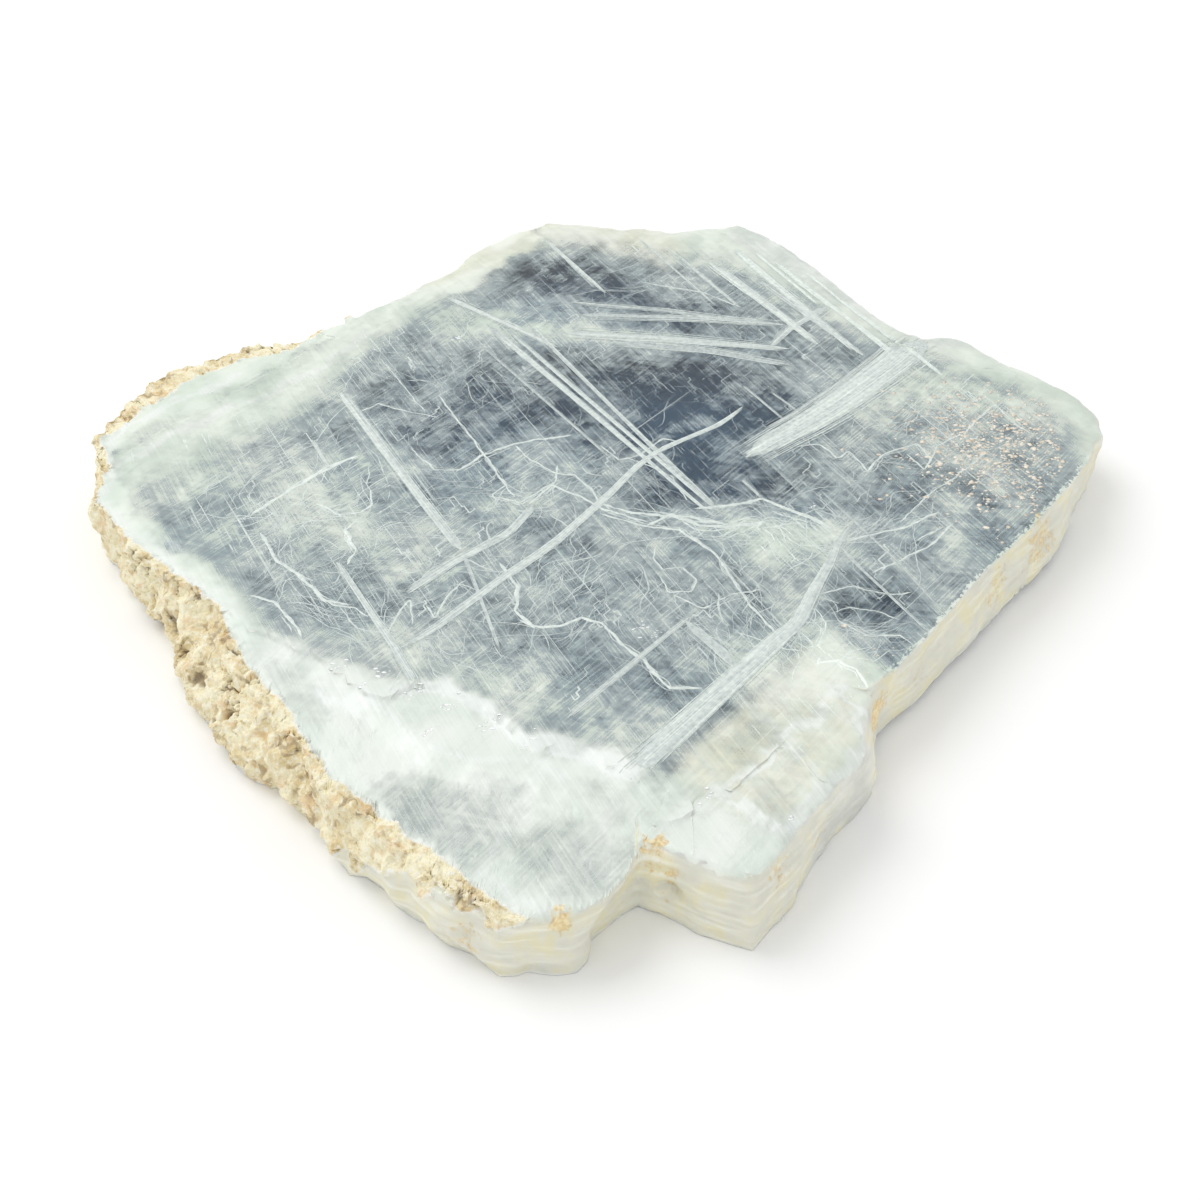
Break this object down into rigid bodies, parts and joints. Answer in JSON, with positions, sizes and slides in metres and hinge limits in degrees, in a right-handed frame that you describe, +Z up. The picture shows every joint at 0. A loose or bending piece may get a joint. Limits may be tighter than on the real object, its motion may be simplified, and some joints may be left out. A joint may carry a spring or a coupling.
{
  "type": "selenite slab",
  "caption": "Flat natural slab of clear selenite with cleaved faces, internal cleavage cracks and a weathered crust on one side, to lay on a table or shelf.",
  "frame": {"origin": "middle of the bounding box on the flat underside", "axes": "+Z up from the underside, +Y away from the two front corners, +X towards the clear, uncrusted side"},
  "size_m": [0.1782, 0.1894, 0.013],
  "materials": {
    "selenite": "clear cleaved gypsum with white internal cracks, frosted broken margins and a tan weathered crust"
  },
  "bodies": {
    "root": {"selenite_slab": "selenite"}
  },
  "joints": []
}
